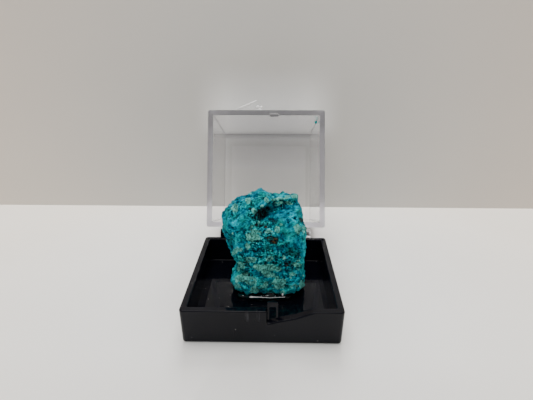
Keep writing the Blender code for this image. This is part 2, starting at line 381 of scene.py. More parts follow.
def wall_finish():
    """Matt paint that shows only from the front and lets the lamps behind it through."""
    made, shader = new_material("wall_paint")
    where = place()
    mottle = spread(noise(where, 9, 3), 0.3, 0.7)
    near = blend(mottle, (0.51, 0.5, 0.478), (0.548, 0.538, 0.515))
    far = blend(mottle, (0.61, 0.547, 0.484), (0.65, 0.587, 0.524))
    paint = blend(spread(reach(place((1, 0, 0.6))), 0.04, 0.12), near, far)
    # Painted light: a soft lighter patch on the wall just above the lid.
    colour = blend(times(painted_glow_over_lid(where), 0.95), paint, (0.9, 0.9, 0.89))
    fill_in(shader, {"Base Color": colour, "Roughness": 0.9, "Specular IOR Level": 0.1})
    clear = node("BsdfTransparent").outputs[0]
    behind = node("NewGeometry").outputs["Backfacing"]
    unseen = reckon("MAXIMUM", behind, node("LightPath").outputs["Is Shadow Ray"])
    mix = node("MixShader", {0: unseen, 1: shader.outputs[0], 2: clear})
    put(made.node_tree.nodes["Material Output"].inputs["Surface"], mix.outputs[0])
    return made


stand = {"location": (0, WALL_Y * MM, 0.5), "rotation": (math.pi / 2, 0, 0), "scale": (3, 1, 1)}
wall = primitive("plane", "wall", size=1, **stand)
coat(wall, wall_finish())

# %% Light
world = bpy.data.worlds.new("studio")
bpy.context.scene.world = world
world.use_nodes = True
sky = world.node_tree.nodes["Background"]
sky.inputs["Color"].default_value = (1, 0.985, 0.96, 1)
sky.inputs["Strength"].default_value = 0.3


def softbox(name, watts, size, at, towards):
    """A square area light that faces a point, sizes in millimetres."""
    data = bpy.data.lights.new(name, "AREA")
    data.energy = watts
    data.size = size * MM
    made = bpy.data.objects.new(name, data)
    bpy.context.scene.collection.objects.link(made)
    made.location = metres(at)
    aim = Vector(metres(towards)) - made.location
    made.rotation_euler = aim.to_track_quat("-Z", "Y").to_euler()
    return made


softbox("overhead", 3.4, 460, (-40, 60, 620), (0, 10, 10))
softbox("behind", 3.2, 300, (0, 430, 400), (0, 0, 0))
fill = softbox("front_fill", 1.4, 500, (-60, -400, 290), (0, 0, 12))
fill.visible_glossy = False
print("stage and light are set")

# %% [markdown]
# ## The two mouldings
#
# Tray and lid are the same kind of thing: a drafted square box with rounded corners, open on one
# side. Both start as a cube. Its closed face is drawn in a little for the draft, its open face is
# inset by the wall's thickness and pushed down to the inside of the closed plate, and then the
# upright corners and the two loops at the plate are rounded. A boolean of two rounded boxes would
# give the same form, but the corner loops come out cleaner this way.

# %% An open box
HALF, WALL = 16, 1.4


def open_box(name, height, plate, draft, corner, plate_round, fillet, inner_corner):
    """A box whose plate is at z = 0 and whose open rim is at z = height, in millimetres."""
    box = block(name, (-HALF, -HALF, 0), (HALF, HALF, height))
    slope = math.tan(math.radians(draft))
    depth = height - plate
    edit(box)
    pick_faces(lambda at, way: way.z < -0.9)
    scale_xy((HALF - height * slope) / HALF)
    pick_faces(lambda at, way: way.z > 0.9)
    bpy.ops.mesh.inset(thickness=WALL * MM)
    extrude(0, 0, -depth)
    scale_xy((HALF - WALL - depth * slope) / (HALF - WALL))
    upright = lambda a, b: abs(a.z - b.z) > depth * 0.9
    pick_edges(lambda a, b: upright(a, b) and min(a.z, b.z) < plate / 2)
    round_picked(corner, 8)
    pick_edges(lambda a, b: upright(a, b) and min(a.z, b.z) > plate / 2)
    round_picked(inner_corner, 6)
    pick_edges(lambda a, b: max(a.z, b.z) < 0.01)
    round_picked(plate_round, 6)
    pick_edges(lambda a, b: abs(a.z - plate) < 0.01 and abs(b.z - plate) < 0.01)
    round_picked(fillet, 5)
    leave()
    return box

# %% [markdown]
# ## The tray
#
# Black styrene, 7.7 mm deep. The front wall has a thumb notch that climbs as a ramp to the right,
# and a thin latch loop that stands in its deep end. Behind the back wall two ears carry the pins.
# The notch could be cut with a few wedges, but their seams would show on the ramp. So one cutter is
# grown step by step: its end face is extruded along the ramp, and its lower edge is lifted each time.

# %% Thumb notch
RIM, FLOOR = 7.7, 1.5
NOTCH = (
    (1, 4.4), (2, 4.6), (2.6, 4.8), (4.5, 5.3), (6.6, 5.8),
    (7.9, 6.34), (9.4, 6.9), (10.3, 7.4), (10.9, 7.9),
)
NOTCH_RISE = 0.9


def lift_end(x, rise):
    """Lifts the lower edge of the cutter's end face, at x."""
    pick_edges(lambda a, b: min(a.x, b.x) > x - 0.01 and max(a.z, b.z) < RIM + 0.5)
    shift(0, 0, rise)


def notch_cutter():
    """The thumb notch as a solid that reaches through the front wall. Its ramp rises inwards."""
    front, back, clear = -HALF - 1, -HALF + WALL + 0.6, RIM + 2
    (first_x, first_z), (x, z) = NOTCH[:2]
    cutter = block("notch", (first_x, front, first_z), (x, back, clear))
    edit(cutter)
    lift_end(x, z - first_z)
    for next_x, next_z in NOTCH[2:]:
        pick_faces(lambda at, way: abs(at.x - x) < 0.01)
        extrude(next_x - x, 0, 0)
        lift_end(next_x, next_z - z)
        x, z = next_x, next_z
    pick_edges(lambda a, b: min(a.y, b.y) > back - 0.01 and max(a.z, b.z) < RIM + 0.5)
    shift(0, 0, NOTCH_RISE)
    leave()
    return cutter

# %% Latch loop
LOOP_X, LOOP_HALF, LOOP_LEG, LOOP_BAR, LOOP_CORNER = 2.12, 1.08, 0.46, 1, 0.5
LOOP_FRONT, LOOP_BACK = -15.15, -14.55
LOOP_FOOT, LOOP_SILL, LOOP_TOP = 4, 4.65, 9.15


def across_loop(name, half, front, back, low, high):
    return block(name, (LOOP_X - half, front, low), (LOOP_X + half, back, high))


def latch_loop():
    """A thin upright loop with rounded shoulders and a window in it."""
    loop = across_loop("latch", LOOP_HALF, LOOP_FRONT, LOOP_BACK, LOOP_FOOT, LOOP_TOP)
    edit(loop)
    pick_edges(lambda a, b: min(a.z, b.z) > LOOP_TOP - 0.01 and abs(a.x - b.x) < 0.01)
    round_picked(LOOP_CORNER, 8)
    leave()
    inside, front, back = LOOP_HALF - LOOP_LEG, LOOP_FRONT - 1, LOOP_BACK + 1
    window = across_loop("window", inside, front, back, LOOP_SILL, LOOP_TOP - LOOP_BAR)
    combine(loop, window, "DIFFERENCE")
    soften(loop, 0.12, 2, 40)
    return loop

# %% Ears and arms
AXIS_Y, AXIS_Z = 17.6, 8.1
KNUCKLE, PIN, PIN_REACH, BORE = 1.1, 0.45, 2, 0.53
EARS = ((-12.1, -10.1), (7.95, 9.9))
ARMS = ((-9.9, -7.95), (10.1, 12.1))
# Each web's corners as (y, z): low and high at the wall, then low and high at its back end.
EAR_WEB = ((15.3, 4.6), (15.3, 7.3), (18.2, 7.2), (18.2, 7.7))
ARM_WEB = ((15.3, 8.2), (15.3, 10.8), (17.9, 8.2), (18.1, 9.2))


def knuckle(name, left, right, web_corners):
    """A rounded lobe on the hinge axis with a web that runs to the wall."""
    (wall, low), (_, high), (back, back_low), (tip, back_high) = web_corners
    lobe = rod(name, ((left + right) / 2, AXIS_Y, AXIS_Z), KNUCKLE, right - left, 48)
    web = block("web", (left, wall, low), (right, back, high))
    edit(web)
    pick_edges(lambda a, b: min(a.y, b.y) > back - 0.01 and max(a.z, b.z) < low + 0.01)
    shift(0, 0, back_low - low)
    pick_edges(lambda a, b: min(a.y, b.y) > back - 0.01 and min(a.z, b.z) > high - 0.01)
    shift(0, tip - back, back_high - high)
    leave()
    combine(lobe, web, "UNION")
    soften(lobe, 0.3, 3, 60)
    return lobe

# %% Build the tray
def build_tray():
    tray = open_box(
        "tray", RIM, FLOOR,
        draft=1.5, corner=0.8, plate_round=0.5, fillet=0.16, inner_corner=0.45,
    )
    combine(tray, notch_cutter(), "DIFFERENCE")
    soften(tray, 0.28, 4, 50)
    combine(tray, latch_loop(), "UNION")
    for left, right in EARS:
        combine(tray, knuckle("ear", left, right, EAR_WEB), "UNION")
        pin = rod("pin", (right + 0.9, AXIS_Y, AXIS_Z), PIN, PIN_REACH)
        soften(pin, 0.08, 2, 60)
        combine(tray, pin, "UNION")
    smooth(tray)
    return tray


tray = build_tray()
print("tray faces:", len(tray.data.polygons))

# %% [markdown]
# ## The lid
#
# The same open box in clear styrene, 24.3 mm deep. It is modelled as it lies when closed, with its
# hinge arms and their bores, and then swung back 113 degrees about the pins, where it rests on its
# stop. It could be built where it stands, but its faces would then lie at a slant, and they would be
# harder to pick. Inside the front wall a shallow pocket takes the latch loop.

# %% Build the lid
LID_RIM, LID_HEIGHT = 7.8, 24.3
OPEN_ANGLE, AXIS = math.radians(113), Vector((0, AXIS_Y * MM, AXIS_Z * MM))
POCKET_HALF, POCKET_FRONT, POCKET_TOP = LOOP_HALF + 0.12, LOOP_FRONT - 0.07, LOOP_TOP + 0.12


def swing(piece):
    """Turns a piece from the closed lid's place to the open one, about the hinge axis."""
    turn = Matrix.Rotation(-OPEN_ANGLE, 4, "X")
    piece.matrix_world = Matrix.Translation(AXIS) @ turn @ Matrix.Translation(-AXIS)
    settle(piece)


def build_lid():
    lid = open_box(
        "clear_lid", LID_HEIGHT, WALL,
        draft=1.6, corner=0.5, plate_round=0.4, fillet=0.06, inner_corner=0.05,
    )
    upside_down = Matrix.Rotation(math.pi, 4, "X")
    lid.matrix_world = Matrix.Translation((0, 0, (LID_RIM + LID_HEIGHT) * MM)) @ upside_down
    settle(lid)
    soften(lid, 0.13, 3, 50)
    pocket = across_loop("pocket", POCKET_HALF, POCKET_FRONT, -HALF + WALL + 0.8, LID_RIM - 1, POCKET_TOP)
    combine(lid, pocket, "DIFFERENCE")
    for left, right in ARMS:
        arm = knuckle("arm", left, right, ARM_WEB)
        combine(arm, rod("bore", ((left + right) / 2, AXIS_Y, AXIS_Z), BORE, 4), "DIFFERENCE")
        combine(lid, arm, "UNION")
    swing(lid)
    smooth(lid)
    return lid


lid = build_lid()
print("lid faces:", len(lid.data.polygons))

# %% [markdown]
# ## Finishes of the mouldings
#
# Styrene leaves the mould glossy, and a box that is handled gathers hairline scratches. Specks of
# dust show on the black tray. Scratches could be drawn one by one, but a noise that is stretched
# along one direction gives them all at once. Each effect is a node group, so that a material sets
# only its numbers.

# %% Shared effects
def group(name, *inputs):
    """Opens a node group that takes named numbers and gives one mask."""
    made = bpy.data.node_groups.new(name, "ShaderNodeTree")
    for title, way in (*((title, "INPUT") for title in inputs), ("Mask", "OUTPUT")):
        made.interface.new_socket(title, in_out=way, socket_type="NodeSocketFloat")
    bench["tree"] = made
    ends = [made.nodes.new(kind) for kind in ("NodeGroupInput", "NodeGroupOutput")]
    return made, ends[0].outputs, ends[1].inputs["Mask"]


def cells_at(where, per_metre, feature="F1"):
    return node("TexVoronoi", {"Vector": where, "Scale": per_metre}, feature=feature).outputs


def red_of(colour):
    return node("SeparateColor", {"Color": colour}).outputs["Red"]


def dust_group():
    """Small specks, scattered sparsely."""
    made, given, mask_out = group("dust_specks", "Per metre", "Size")
    cells = cells_at(place(), given["Per metre"])
    near = reckon("LESS_THAN", cells["Distance"], given["Size"])
    rare = reckon("GREATER_THAN", red_of(cells["Color"]), 0.8)
    put(mask_out, times(near, rare))
    return made


def scratch_group():
    """Hairlines: a noise stretched along one direction and cut to its thinnest crests."""
    made, given, mask_out = group("hairlines", "Across", "Along")
    across, along = given["Across"], given["Along"]
    stretch = node("CombineXYZ", {"X": across, "Y": along, "Z": along}).outputs["Vector"]
    put(mask_out, spread(noise(place(stretch), 1, 3, 0.6, 0.4), 0.62, 0.72))
    return made


dust, hairlines = dust_group(), scratch_group()


def use(shared, values):
    return node("Group", node_tree=shared, values=values).outputs["Mask"]

# %% Black styrene
def front_streaks():
    """Short, lighter upright streaks on the front wall, left of the notch."""
    x, depth, height = parts_of(place())
    return times(
        spread(depth, -0.0154, -0.0156),
        spread(reckon("ABSOLUTE", total(x, 0.0016)), 0.0008, 0.0019, 1, 0),
        spread(height, 0.0052, 0.006),
        spread(height, 0.0078, 0.007),
        spread(noise(place((1, 0, 0.12)), 2000, 2), 0.5, 0.62, 0, 0.6),
    )


def black_styrene():
    made, shader = new_material("black_styrene_gloss")
    where = place()
    tone = spread(noise(where, 120, 3), 0.3, 0.7)
    base = blend(tone, (0.001, 0.0012, 0.0032), (0.0022, 0.0026, 0.0052))
    specks = use(dust, {"Per metre": 800, "Size": 0.1})
    lines = use(hairlines, {"Across": 1600, "Along": 90})
    worn = blend(times(lines, 0.1), base, (0.05, 0.05, 0.055))
    streaked = blend(front_streaks(), worn, (0.042, 0.042, 0.048))
    gloss = spread(noise(where, 260, 4), 0.3, 0.7, 0.035, 0.07)
    ripple = noise(where, 150, 2)
    fill_in(shader, {
        "Base Color": blend(times(specks, 0.5), streaked, (0.22, 0.21, 0.2)),
        "Roughness": total(gloss, times(lines, 0.15)),
        "Normal": bumps(total(ripple, times(lines, 0.15)), 0.12, 0.0001),
        "IOR": 1.45,
        "Specular IOR Level": 0.21,
    })
    return made

# %% [markdown]
# The lid is clear by its values: full transmission, the index of styrene, and a faint absorption
# through its thickness. Its rim and its pocket are matt, and a painted shade darkens its top plate
# in front. A slanted plate is hard to find by its height, so places are first turned back to where
# they are on the closed lid.

# %% Clear styrene
def as_closed():
    """Places on the lid as they are when it is closed."""
    shift_back = AXIS - Matrix.Rotation(OPEN_ANGLE, 3, "X") @ AXIS
    values = {"Vector": place(), "Rotation": (OPEN_ANGLE, 0, 0), "Location": tuple(shift_back)}
    return parts_of(node("Mapping", values).outputs["Vector"])


def painted_plate_shade():
    """Painted shade: the top plate is darkened over its front half and clears towards the hinge."""
    _, y, z = as_closed()
    stops = ((0, 0.28), (0.055, 0.4), (0.1, 0.8), (0.3, 0.9), (0.42, 1))
    plate_shade = ramp(spread(y, -0.0155, 0.0155), [(at, (v, v, v * 1.02)) for at, v in stops])
    return spread(z, 0.0303, 0.0307), plate_shade


def in_pocket():
    """The pocket's faces, which the mould leaves matt."""
    x, y, z = as_closed()
    return times(
        spread(reckon("ABSOLUTE", total(x, -LOOP_X * MM)), 0.0013, 0.00135, 0.6, 0),
        spread(y, -0.0154, -0.0153),
        spread(y, -0.01475, -0.0147, 1, 0),
        spread(z, 0.0093, 0.0094, 1, 0),
    )


def clear_styrene():
    made, shader = new_material("clear_styrene_gloss")
    where = place()
    lines = use(hairlines, {"Across": 1300, "Along": 70})
    cloud = noise(where, 200, 3)
    tone = blend(spread(cloud, 0.3, 0.7), (0.985, 0.985, 0.995), (1, 1, 1))
    # Painted shade on the top plate.
    on_plate, plate_shade = painted_plate_shade()
    at_rim = spread(as_closed()[2], LID_RIM * MM + 0.0003, LID_RIM * MM + 0.0001, 0, 0.6)
    matt = reckon("MAXIMUM", at_rim, in_pocket())
    waves = total(noise(where, 90, 2), times(lines, 0.1))
    fill_in(shader, {
        "Base Color": blend(on_plate, tone, plate_shade),
        "Roughness": total(spread(cloud, 0.3, 0.7, 0, 0.02), times(lines, 0.06), times(matt, 0.6)),
        "Normal": bumps(waves, 0.08, 0.0001),
        "Sheen Weight": matt,
        "Sheen Roughness": 0.4,
        "Transmission Weight": 1,
        "IOR": 1.57,
    })
    soak = node("VolumeAbsorption", {"Color": (0.51, 0.484, 0.636), "Density": 30})
    put(made.node_tree.nodes["Material Output"].inputs["Volume"], soak.outputs[0])
    return made

# %% Dress the mouldings
def dress(piece, body, replaced):
    """Puts a finished piece in the place of a node."""
    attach(piece, body)
    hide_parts(replaced)
    print(piece.name, "has", len(piece.data.polygons), "faces")


coat(tray, black_styrene())
coat(lid, clear_styrene())
dress(tray, "tray", "base_tray")
dress(lid, "lid", "lid")

# %% [markdown]
# ## The specimen
#
# One natural piece of chrysocolla: a squarish boulder with a rough granular crust, a ridge with a
# deep shadowed scoop under it, a smooth blue bulge, dark cracks, and pale green botryoids. A stone
# like this could be sculpted by hand with a brush. Here the same strokes are written down: a
# subdivided cube is drawn out to the boulder's outline, remeshed, pushed in and out stroke by
# stroke, remeshed again finely, and then covered with grains.

# %% A mesh as rows of numbers
def rows_of(source, key):
    flat = np.empty(len(source) * 3)
    source.foreach_get(key, flat)
    return flat.reshape(-1, 3)


def points_of(piece):
    """A mesh's points in millimetres."""
    return rows_of(piece.data.vertices, "co") / MM


def normals_of(piece):
    return rows_of(piece.data.vertex_normals, "vector")


def move_points(piece, points):
    piece.data.vertices.foreach_set("co", (points * MM).ravel())
    piece.data.update()

# %% Outline of the boulder
# Each row is height, left, right, front and back in millimetres.
OUTLINE = np.array((
    (1.9, -6, 9.2, -1.8, 8.2), (2.6, -6.9, 9.8, -2.7, 8.8), (3.2, -7.5, 9.8, -3.4, 9.2),
    (4.5, -7.9, 9.5, -3.6, 9.6), (5.7, -7.1, 9.4, -3.7, 9.8), (6.8, -6.3, 9.4, -3.6, 9.9),
    (8.5, -6.2, 9.1, -3.6, 10.1), (10.3, -6.8, 9.3, -3.7, 10.2), (12.5, -7.8, 9.4, -3.8, 10.3),
    (15, -8.6, 9.4, -3.9, 10.4), (17.3, -8.9, 9.1, -4, 10.3), (19.3, -9.1, 8.7, -4, 10.2),
    (21.2, -9, 8.1, -4, 9.9), (22.6, -8.2, 7.5, -3.6, 9.4), (23.6, -6.9, 7.5, -2.9, 8.8),
))
FOOT, SHOULDER = OUTLINE[0, 0], OUTLINE[-1, 0]
# The skyline of the top as x and height, measured along the line of sight down to the front.
SKYLINE = np.array((
    (-9.4, 22.4), (-8.6, 23.6), (-7.3, 25.4), (-5.2, 26.6), (-2.9, 27.9), (-0.9, 28.45), (0.6, 28.05),
    (2, 27.3), (4.7, 27.4), (7.3, 27.1), (7.6, 26.8), (7.9, 25), (9.4, 23),
))
SHEET_Y, CREST_Y, CREST_BEND, SIGHT_SLOPE = -3.5, 5, 0.07, 0.385
# The underside as x and height: the right corner stands clear of the glue.
UNDERSIDE = np.array((
    (-7, 1.9), (-2, 1.9), (0.2, 2.45), (5.4, 2.35), (6.6, 2.9), (9.6, 3),
))
# How square the outline is all round, and what two of its corners add: amount and direction.
SQUARENESS, CORNERS = 2.6, ((3.2, 40), (1.4, 140))

# %% Draw out a cube
def top_height(x, y):
    """The top: a low dome whose skyline is seen from the front and which falls away behind."""
    skyline = np.interp(x, SKYLINE[:, 0], SKYLINE[:, 1])
    return skyline - SIGHT_SLOPE * (y - SHEET_Y) - CREST_BEND * (y - CREST_Y) ** 2


def lower_of(first, second, blend_width=0.25):
    """The smaller of two heights, rounded where they cross."""
    gap = np.clip(0.5 + (second - first) / (2 * blend_width), 0, 1)
    return second * (1 - gap) + first * gap - blend_width * gap * (1 - gap)


def boulder():
    """A cube drawn out to the outline."""
    rock = block("specimen", (-1, -1, -1), (1, 1, 1))
    edit(rock)
    bpy.ops.mesh.select_all(action="SELECT")
    bpy.ops.mesh.subdivide(number_cuts=44)
    leave()
    cube = points_of(rock)
    outwards = np.abs(cube[:, :2]).max(axis=1)
    around = np.arctan2(cube[:, 1], cube[:, 0])
    cos, sin = np.cos(around), np.sin(around)
    square = SQUARENESS
    for amount, turn in CORNERS:
        square = square + amount * np.clip(np.cos(around + math.radians(turn)), 0, 1)
    ring = outwards * (np.abs(cos) ** square + np.abs(sin) ** square) ** (-1 / square)
    height = FOOT + (cube[:, 2] + 1) / 2 * (SHOULDER - FOOT)
    left, right, front, back = (np.interp(height, OUTLINE[:, 0], side) for side in OUTLINE.T[1:])
    x = (left + right) / 2 + (right - left) / 2 * ring * cos
    y = (front + back) / 2 + (back - front) / 2 * ring * sin
    crown = np.where(cube[:, 2] > 0.999, 2.6 * (1 - outwards**6), 0)
    under = np.interp(x, UNDERSIDE[:, 0], UNDERSIDE[:, 1])
    level = np.maximum(lower_of(height + crown, top_height(x, y)), under)
    move_points(rock, np.stack([x, y, level], axis=1))
    return rock

# %% [markdown]
# Strokes on the side that faces the viewer are placed on an upright sheet just in front of the
# stone, as (x, z) in millimetres, and they push along the line of sight. A stroke so placed keeps
# its place when the stone gets deeper or shallower under it.

# %% Strokes
def on_sheet(points):
    """Where the line from the eye to each point crosses the sheet, and each line's direction."""
    lines = points - np.array(EYE)
    share = (SHEET_Y - EYE[1]) / lines[:, 1]
    crossing = EYE + lines * share[:, None]
    return crossing[:, 0], crossing[:, 2], lines / np.linalg.norm(lines, axis=1)[:, None]


def soft_step(value, low, high):
    share = np.clip((value - low) / (high - low), 0, 1)
    return share * share * (3 - 2 * share)


def oval(x, z, stroke):
    """Distance from a stroke's middle, 1 at its edge."""
    turn = math.radians(stroke[5]) if len(stroke) > 5 else 0
    dx, dz = x - stroke[0], z - stroke[1]
    across = (dx * math.cos(turn) + dz * math.sin(turn)) / stroke[2]
    up = (-dx * math.sin(turn) + dz * math.cos(turn)) / stroke[3]
    return np.sqrt(across**2 + up**2)

# %% Carving strokes
# The ridge, and how deep the scoop under it goes: x, height on the sheet, depth.
RIDGE = np.array((
    (-4.6, 22.2, 0), (-3.2, 22.9, 0.3), (-1.8, 23.5, 1.6), (-0.4, 24.2, 3.2), (0.8, 25.1, 4.2),
    (2, 25.8, 3.8), (3, 25.9, 2.6), (5.6, 26.1, 2.2), (7, 26.5, 1.8), (8.2, 26.6, 0.8), (9.5, 26.6, 0),
))
# A stroke is x, z, half width, half height and strength, then its turn in degrees where it has one.
# These push the stone in, or out where the strength is negative.
STROKES = (
    (0.4, 23, 1.9, 0.85, 1.9, 30), (-4.2, 22.9, 2.3, 0.35, 0.8, 36), (-4.7, 20.4, 3, 2.2, -0.8),
    (5.6, 18.2, 2.9, 3.3, -1.3), (1, 20.6, 1.8, 1.3, 0.9), (2, 16.6, 1.1, 0.75, 1.5, -20),
    (0.3, 19.6, 0.8, 0.45, 1, -15), (5.6, 13.6, 3.2, 1.3, 1.2, -12), (4.8, 10.4, 2.8, 1.4, 0.9),
    (-0.4, 12.3, 0.4, 0.4, 1.4), (5, 10.6, 0.7, 0.4, 1), (0.8, 9.1, 2.8, 0.8, -0.7, -10),
    (-3.7, 8.3, 1.2, 0.9, 0.9), (-5, 7.4, 1.7, 0.35, -0.6, -50), (3.7, 5.7, 1.9, 1.2, -0.6, 10),
    (8.3, 21.2, 0.5, 0.8, 1.8, 20), (-6.2, 5.2, 1.6, 1.5, -0.5), (-6.9, 15.6, 0.9, 3.2, 0.9, 8),
    (-5.6, 15.4, 0.3, 3.2, -0.5, 8), (-0.7, 14.5, 1.6, 0.4, 0.6, 20), (-2.2, 14, 2.4, 1.6, 0.4),
    (5.1, 22.7, 0.7, 0.3, 0.8, -20), (1.5, 21.5, 0.9, 0.35, 0.9, -30), (7.2, 8, 1.3, 1, -0.4),
    (1, 3, 2, 0.7, 0.8),
)


def carve(rock):
    points = points_of(rock)
    x, z, lines = on_sheet(points)
    faces_eye = soft_step(-(normals_of(rock) * lines).sum(axis=1), -0.05, 0.3)
    below = np.interp(x, RIDGE[:, 0], RIDGE[:, 1]) - z
    scoop = np.interp(x, RIDGE[:, 0], RIDGE[:, 2])
    push = scoop * soft_step(below, -0.1, 0.8) * (1 - soft_step(below, 1, 5.6))
    for stroke in STROKES:
        push += stroke[4] * np.exp(-1.2 * oval(x, z, stroke) ** 2)
    move_points(rock, points + lines * (push * faces_eye)[:, None])

# %% [markdown]
# The crust is rough at several sizes. Smooth noise gives the broad lumps and the fine ripple. Each
# grain could be a small ball of its own, but thousands of balls are heavy and stand on the stone
# like beads. So the skin itself is pushed out, as a low dome round each of many scattered seeds.

# %% Noise, averages and domes
def field(points, size, octaves=3, start=0):
    """Smooth noise over the points, about -1 to 1, whose largest waves are about size wide."""
    away = Vector((start, start * 0.7, -start))
    return np.array([wave.fractal(Vector(p) / size + away, 0.9, 2.1, octaves) for p in points])


def neighbours_mean(piece, values, rounds):
    """Each point's value averaged with its neighbours', several times over."""
    ends = np.empty(len(piece.data.edges) * 2, int)
    piece.data.edges.foreach_get("vertices", ends)
    a, b = ends.reshape(-1, 2).T
    count = np.bincount(a, minlength=len(values)) + np.bincount(b, minlength=len(values))
    for _ in range(rounds):
        gathered = np.bincount(a, values[b], len(values)) + np.bincount(b, values[a], len(values))
        values = gathered / count
    return values


def domes(points, seeds, radii):
    """How high each point stands on the round grains that are centred on the seeds."""
    near = kdtree.KDTree(len(points))
    for i, point in enumerate(points):
        near.insert(point, i)
    near.balance()
    height = np.zeros(len(points))
    for seed, radius in zip(seeds, radii):
        for _, i, gap in near.find_range(seed, radius):
            height[i] = max(height[i], radius * math.sqrt(1 - (gap / radius) ** 2))
    return height

# %% Shape the boulder
rng = np.random.default_rng(11)
rock = boulder()
remesh(rock, 0.3)
carve(rock)
remesh(rock, 0.25)
points, normals = points_of(rock), normals_of(rock)
lumps = 0.45 * field(points, 4.2, 3, 3) + 0.4 * field(points, 1.3, 3, 9) - 0.1
move_points(rock, points + normals * lumps[:, None])
remesh(rock, 0.158)
print("specimen faces:", len(rock.data.polygons))

# %% Smooth and rough places
# Most of the stone is smooth and softly lumpy. The grit sits in its middle, under the ridge, along
# the top and in the lower half.
GRIT = (
    (-0.6, 17.6, 3.4, 3.2, 1), (-1.6, 22.8, 2, 1.4, 0.8, 20), (3.4, 25.3, 3, 0.9, 0.9),
    (0, 11.8, 6, 3, 0.8), (7.9, 19, 1.2, 1.6, 0.9), (-4, 24.8, 3, 1.2, 0.5, 20), (5, 11.5, 4, 2, 0.7),
    (0.5, 6.5, 6.5, 3, 0.5), (-0.6, 20.3, 2.2, 0.9, 1),
)
GRAINS = 2600


def painted(strokes, wander=0, low=0.75, high=1.25, least=0):
    """The strongest stroke at each point of the front, with edges that wander."""
    mask = np.full(len(points), least)
    for stroke in strokes:
        away = oval(sheet_x, sheet_z, stroke) + wander
        body = 1 - soft_step(away, low, high)
        if len(stroke) > 6:
            body *= 0.55 + 0.45 * soft_step(away, 0.3, 0.55)
        mask = np.maximum(mask, body * stroke[4])
    return mask * front


points, normals = points_of(rock), normals_of(rock)
sheet_x, sheet_z, lines = on_sheet(points)
front = soft_step(-(normals * lines).sum(axis=1), -0.1, 0.15)
patchy = soft_step(field(points, 2.6, 3, 41), -0.2, 0.6)
grit = np.clip(painted(GRIT, 0, 0.6, 1.25, 0.15) + patchy * (0.85 - 0.55 * front), 0, 1)
seeds = rng.choice(len(points), GRAINS, replace=False)
grain = domes(points, points[seeds], 0.2 + 0.55 * rng.uniform(0, 1, GRAINS) ** 2)
cracks = 1 - soft_step(np.abs(field(points, 2.3, 4, 20)), 0, 0.07)
relief = 0.55 * grain * (0.2 + 0.8 * grit) - 0.25 * cracks * grit
relief += (0.08 + 0.12 * grit) * field(points, 0.8, 4, 31)
move_points(rock, points + normals * (relief - relief.mean())[:, None])
